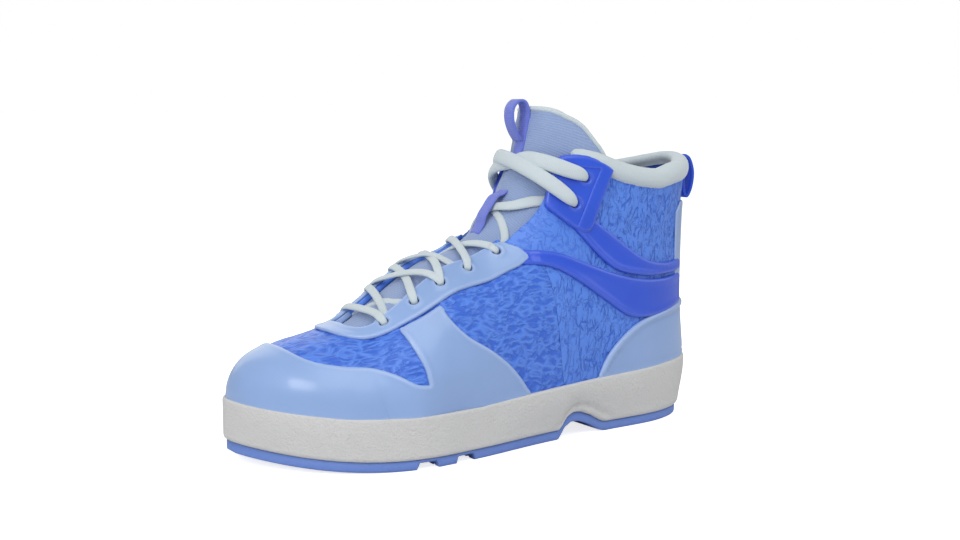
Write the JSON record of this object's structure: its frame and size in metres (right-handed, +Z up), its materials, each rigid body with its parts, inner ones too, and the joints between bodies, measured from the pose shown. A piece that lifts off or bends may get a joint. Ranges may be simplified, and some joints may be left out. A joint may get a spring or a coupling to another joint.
{
  "type": "basketball high top",
  "caption": "Left-foot high-top basketball shoe with layered overlays, ankle straps, laced eyestay, hinged tongue top and pull tabs.",
  "frame": {"origin": "on the ground, under the middle of the heel", "axes": "+X to the toe, +Y to the outer side of the foot, +Z up"},
  "size_m": [0.3054, 0.1058, 0.1921],
  "materials": {
    "outsole_rubber": "satin moulded rubber",
    "midsole_foam": "matte pebbled foam",
    "shank_plastic": "matte",
    "board": "matte fibre board",
    "sockliner": "brushed knit on foam",
    "grained_skin": "crumpled deep grain, satin",
    "light_overlay": "smooth satin",
    "dark_overlay": "smooth moulded film, soft gloss",
    "lining": "knit",
    "stiffener": "matte",
    "foam": "open-cell foam",
    "collar_knit": "fine knit binding",
    "tongue_mesh": "fine ribbed mesh",
    "webbing": "woven webbing",
    "tab_webbing": "woven webbing",
    "lace": "flat woven lace",
    "aglet_film": "clear film"
  },
  "bodies": {
    "shoe": {"outsole": "outsole_rubber", "midsole": "midsole_foam", "shank_plate": "shank_plastic", "strobel_board": "board", "sockliner": "sockliner", "vamp": "grained_skin", "quarter_lateral": "grained_skin", "quarter_medial": "grained_skin", "lining": "lining", "toe_puff": "stiffener", "heel_stiffener": "stiffener", "collar_foam": "foam", "toe_overlay": "light_overlay", "eyestay": "light_overlay", "heel_counter": "light_overlay", "back_strip": "light_overlay", "lower_strap_lateral": "dark_overlay", "upper_strap_lateral": "dark_overlay", "ankle_plate_lateral": "dark_overlay", "lower_strap_medial": "dark_overlay", "upper_strap_medial": "dark_overlay", "ankle_plate_medial": "dark_overlay", "collar_roll": "collar_knit", "tongue": "tongue_mesh", "lace_keeper": "webbing", "lace": "lace", "aglet_lateral": "aglet_film", "aglet_medial": "aglet_film"},
    "tongue_flap": {"tongue_flap": "tongue_mesh"},
    "tongue_pull_loop": {"tongue_pull_loop": "webbing"},
    "heel_pull_tab": {"heel_pull_tab": "tab_webbing"}
  },
  "joints": [
    {"name": "tongue_flex", "type": "hinge", "parent": "shoe", "child": "tongue_flap", "pos_m": [0.08, 0, 0.1575], "axis": [0, 1, 0], "range_deg": [-4, 10]},
    {"name": "pull_loop_flop", "type": "hinge", "parent": "tongue_flap", "child": "tongue_pull_loop", "pos_m": [0.0838, 0, 0.1622], "axis": [0, 1, 0], "range_deg": [-3, 50]},
    {"name": "heel_tab_lift", "type": "hinge", "parent": "shoe", "child": "heel_pull_tab", "pos_m": [-0.0369, 0, 0.1555], "axis": [0, 1, 0], "range_deg": [-2, 75]}
  ]
}
